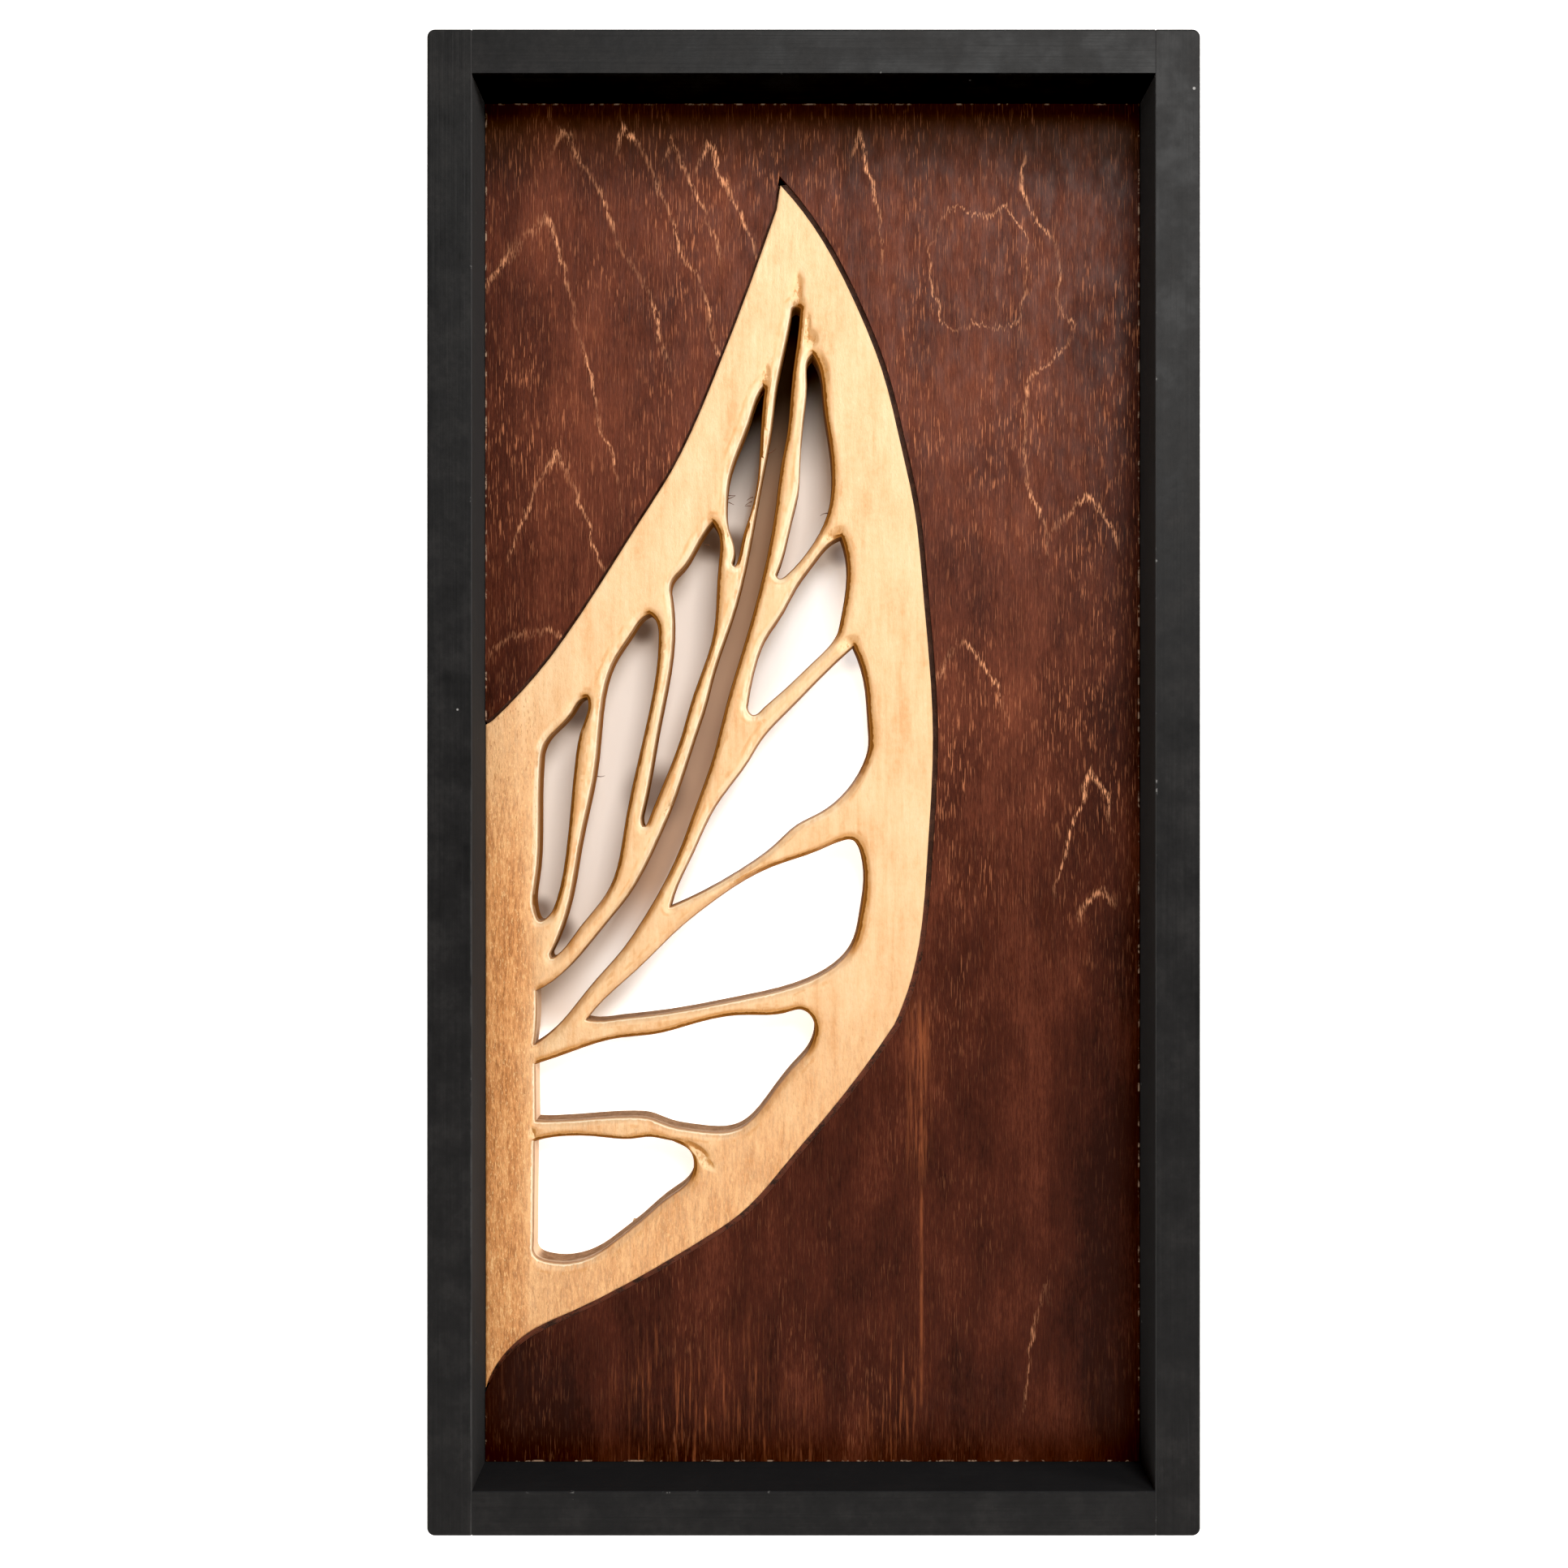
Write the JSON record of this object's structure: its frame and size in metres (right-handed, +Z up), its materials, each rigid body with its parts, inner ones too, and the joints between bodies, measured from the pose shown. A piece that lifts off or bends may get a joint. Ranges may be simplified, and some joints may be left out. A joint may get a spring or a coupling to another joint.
{
  "type": "framed wooden wing wall art",
  "caption": "Deep black tray frame around a recessed red-brown plywood panel with an inlaid, carved openwork golden wing; D-rings swing on straps at its back.",
  "frame": {"origin": "on the wall plane, at the back faces of the rubber bumpers, behind the middle of the frame", "axes": "+Y towards the wall, so the front faces -Y; +Z up; +X to the right as seen from the front"},
  "size_m": [0.308, 0.0515, 0.6],
  "materials": {
    "frame_paint": "satin black brushed paint over softwood",
    "plug_paint": "satin black paint over wooden plugs",
    "stained_ply": "dark red-brown stain on plywood, satin",
    "gold_wood": "pale gold pearl paint on carved wood",
    "bare_pine": "bare planed pine",
    "bare_ply": "bare birch plywood",
    "zinc_steel": "bright zinc plate",
    "bumper_rubber": "matte rubber"
  },
  "bodies": {
    "frame_body": {"stile_left": "frame_paint", "stile_right": "frame_paint", "rail_top": "frame_paint", "rail_bottom": "frame_paint", "panel": "stained_ply", "wing": "gold_wood", "cleat_left": "bare_pine", "cleat_right": "bare_pine", "cleat_top": "bare_pine", "cleat_bottom": "bare_pine", "splint_upper_left": "bare_ply", "splint_upper_right": "bare_ply", "splint_right": "bare_ply", "splint_lower": "bare_ply", "corner_screws": "zinc_steel", "corner_plugs": "plug_paint", "cleat_screws": "zinc_steel", "splint_screws": "zinc_steel", "hanger_strap_left": "zinc_steel", "hanger_strap_right": "zinc_steel", "hanger_screws": "zinc_steel", "bumper_upper_left": "bumper_rubber", "bumper_upper_right": "bumper_rubber", "bumper_lower_left": "bumper_rubber", "bumper_lower_right": "bumper_rubber"},
    "ring_left": {"hanger_ring_left": "zinc_steel"},
    "ring_right": {"hanger_ring_right": "zinc_steel"}
  },
  "joints": [
    {"name": "ring_left_swing", "type": "hinge", "parent": "frame_body", "child": "ring_left", "pos_m": [-0.145, -0.0017, 0.185], "axis": [1, 0, 0], "range_deg": [0, 180]},
    {"name": "ring_right_swing", "type": "hinge", "parent": "frame_body", "child": "ring_right", "pos_m": [0.145, -0.0017, 0.185], "axis": [1, 0, 0], "range_deg": [0, 180]}
  ]
}
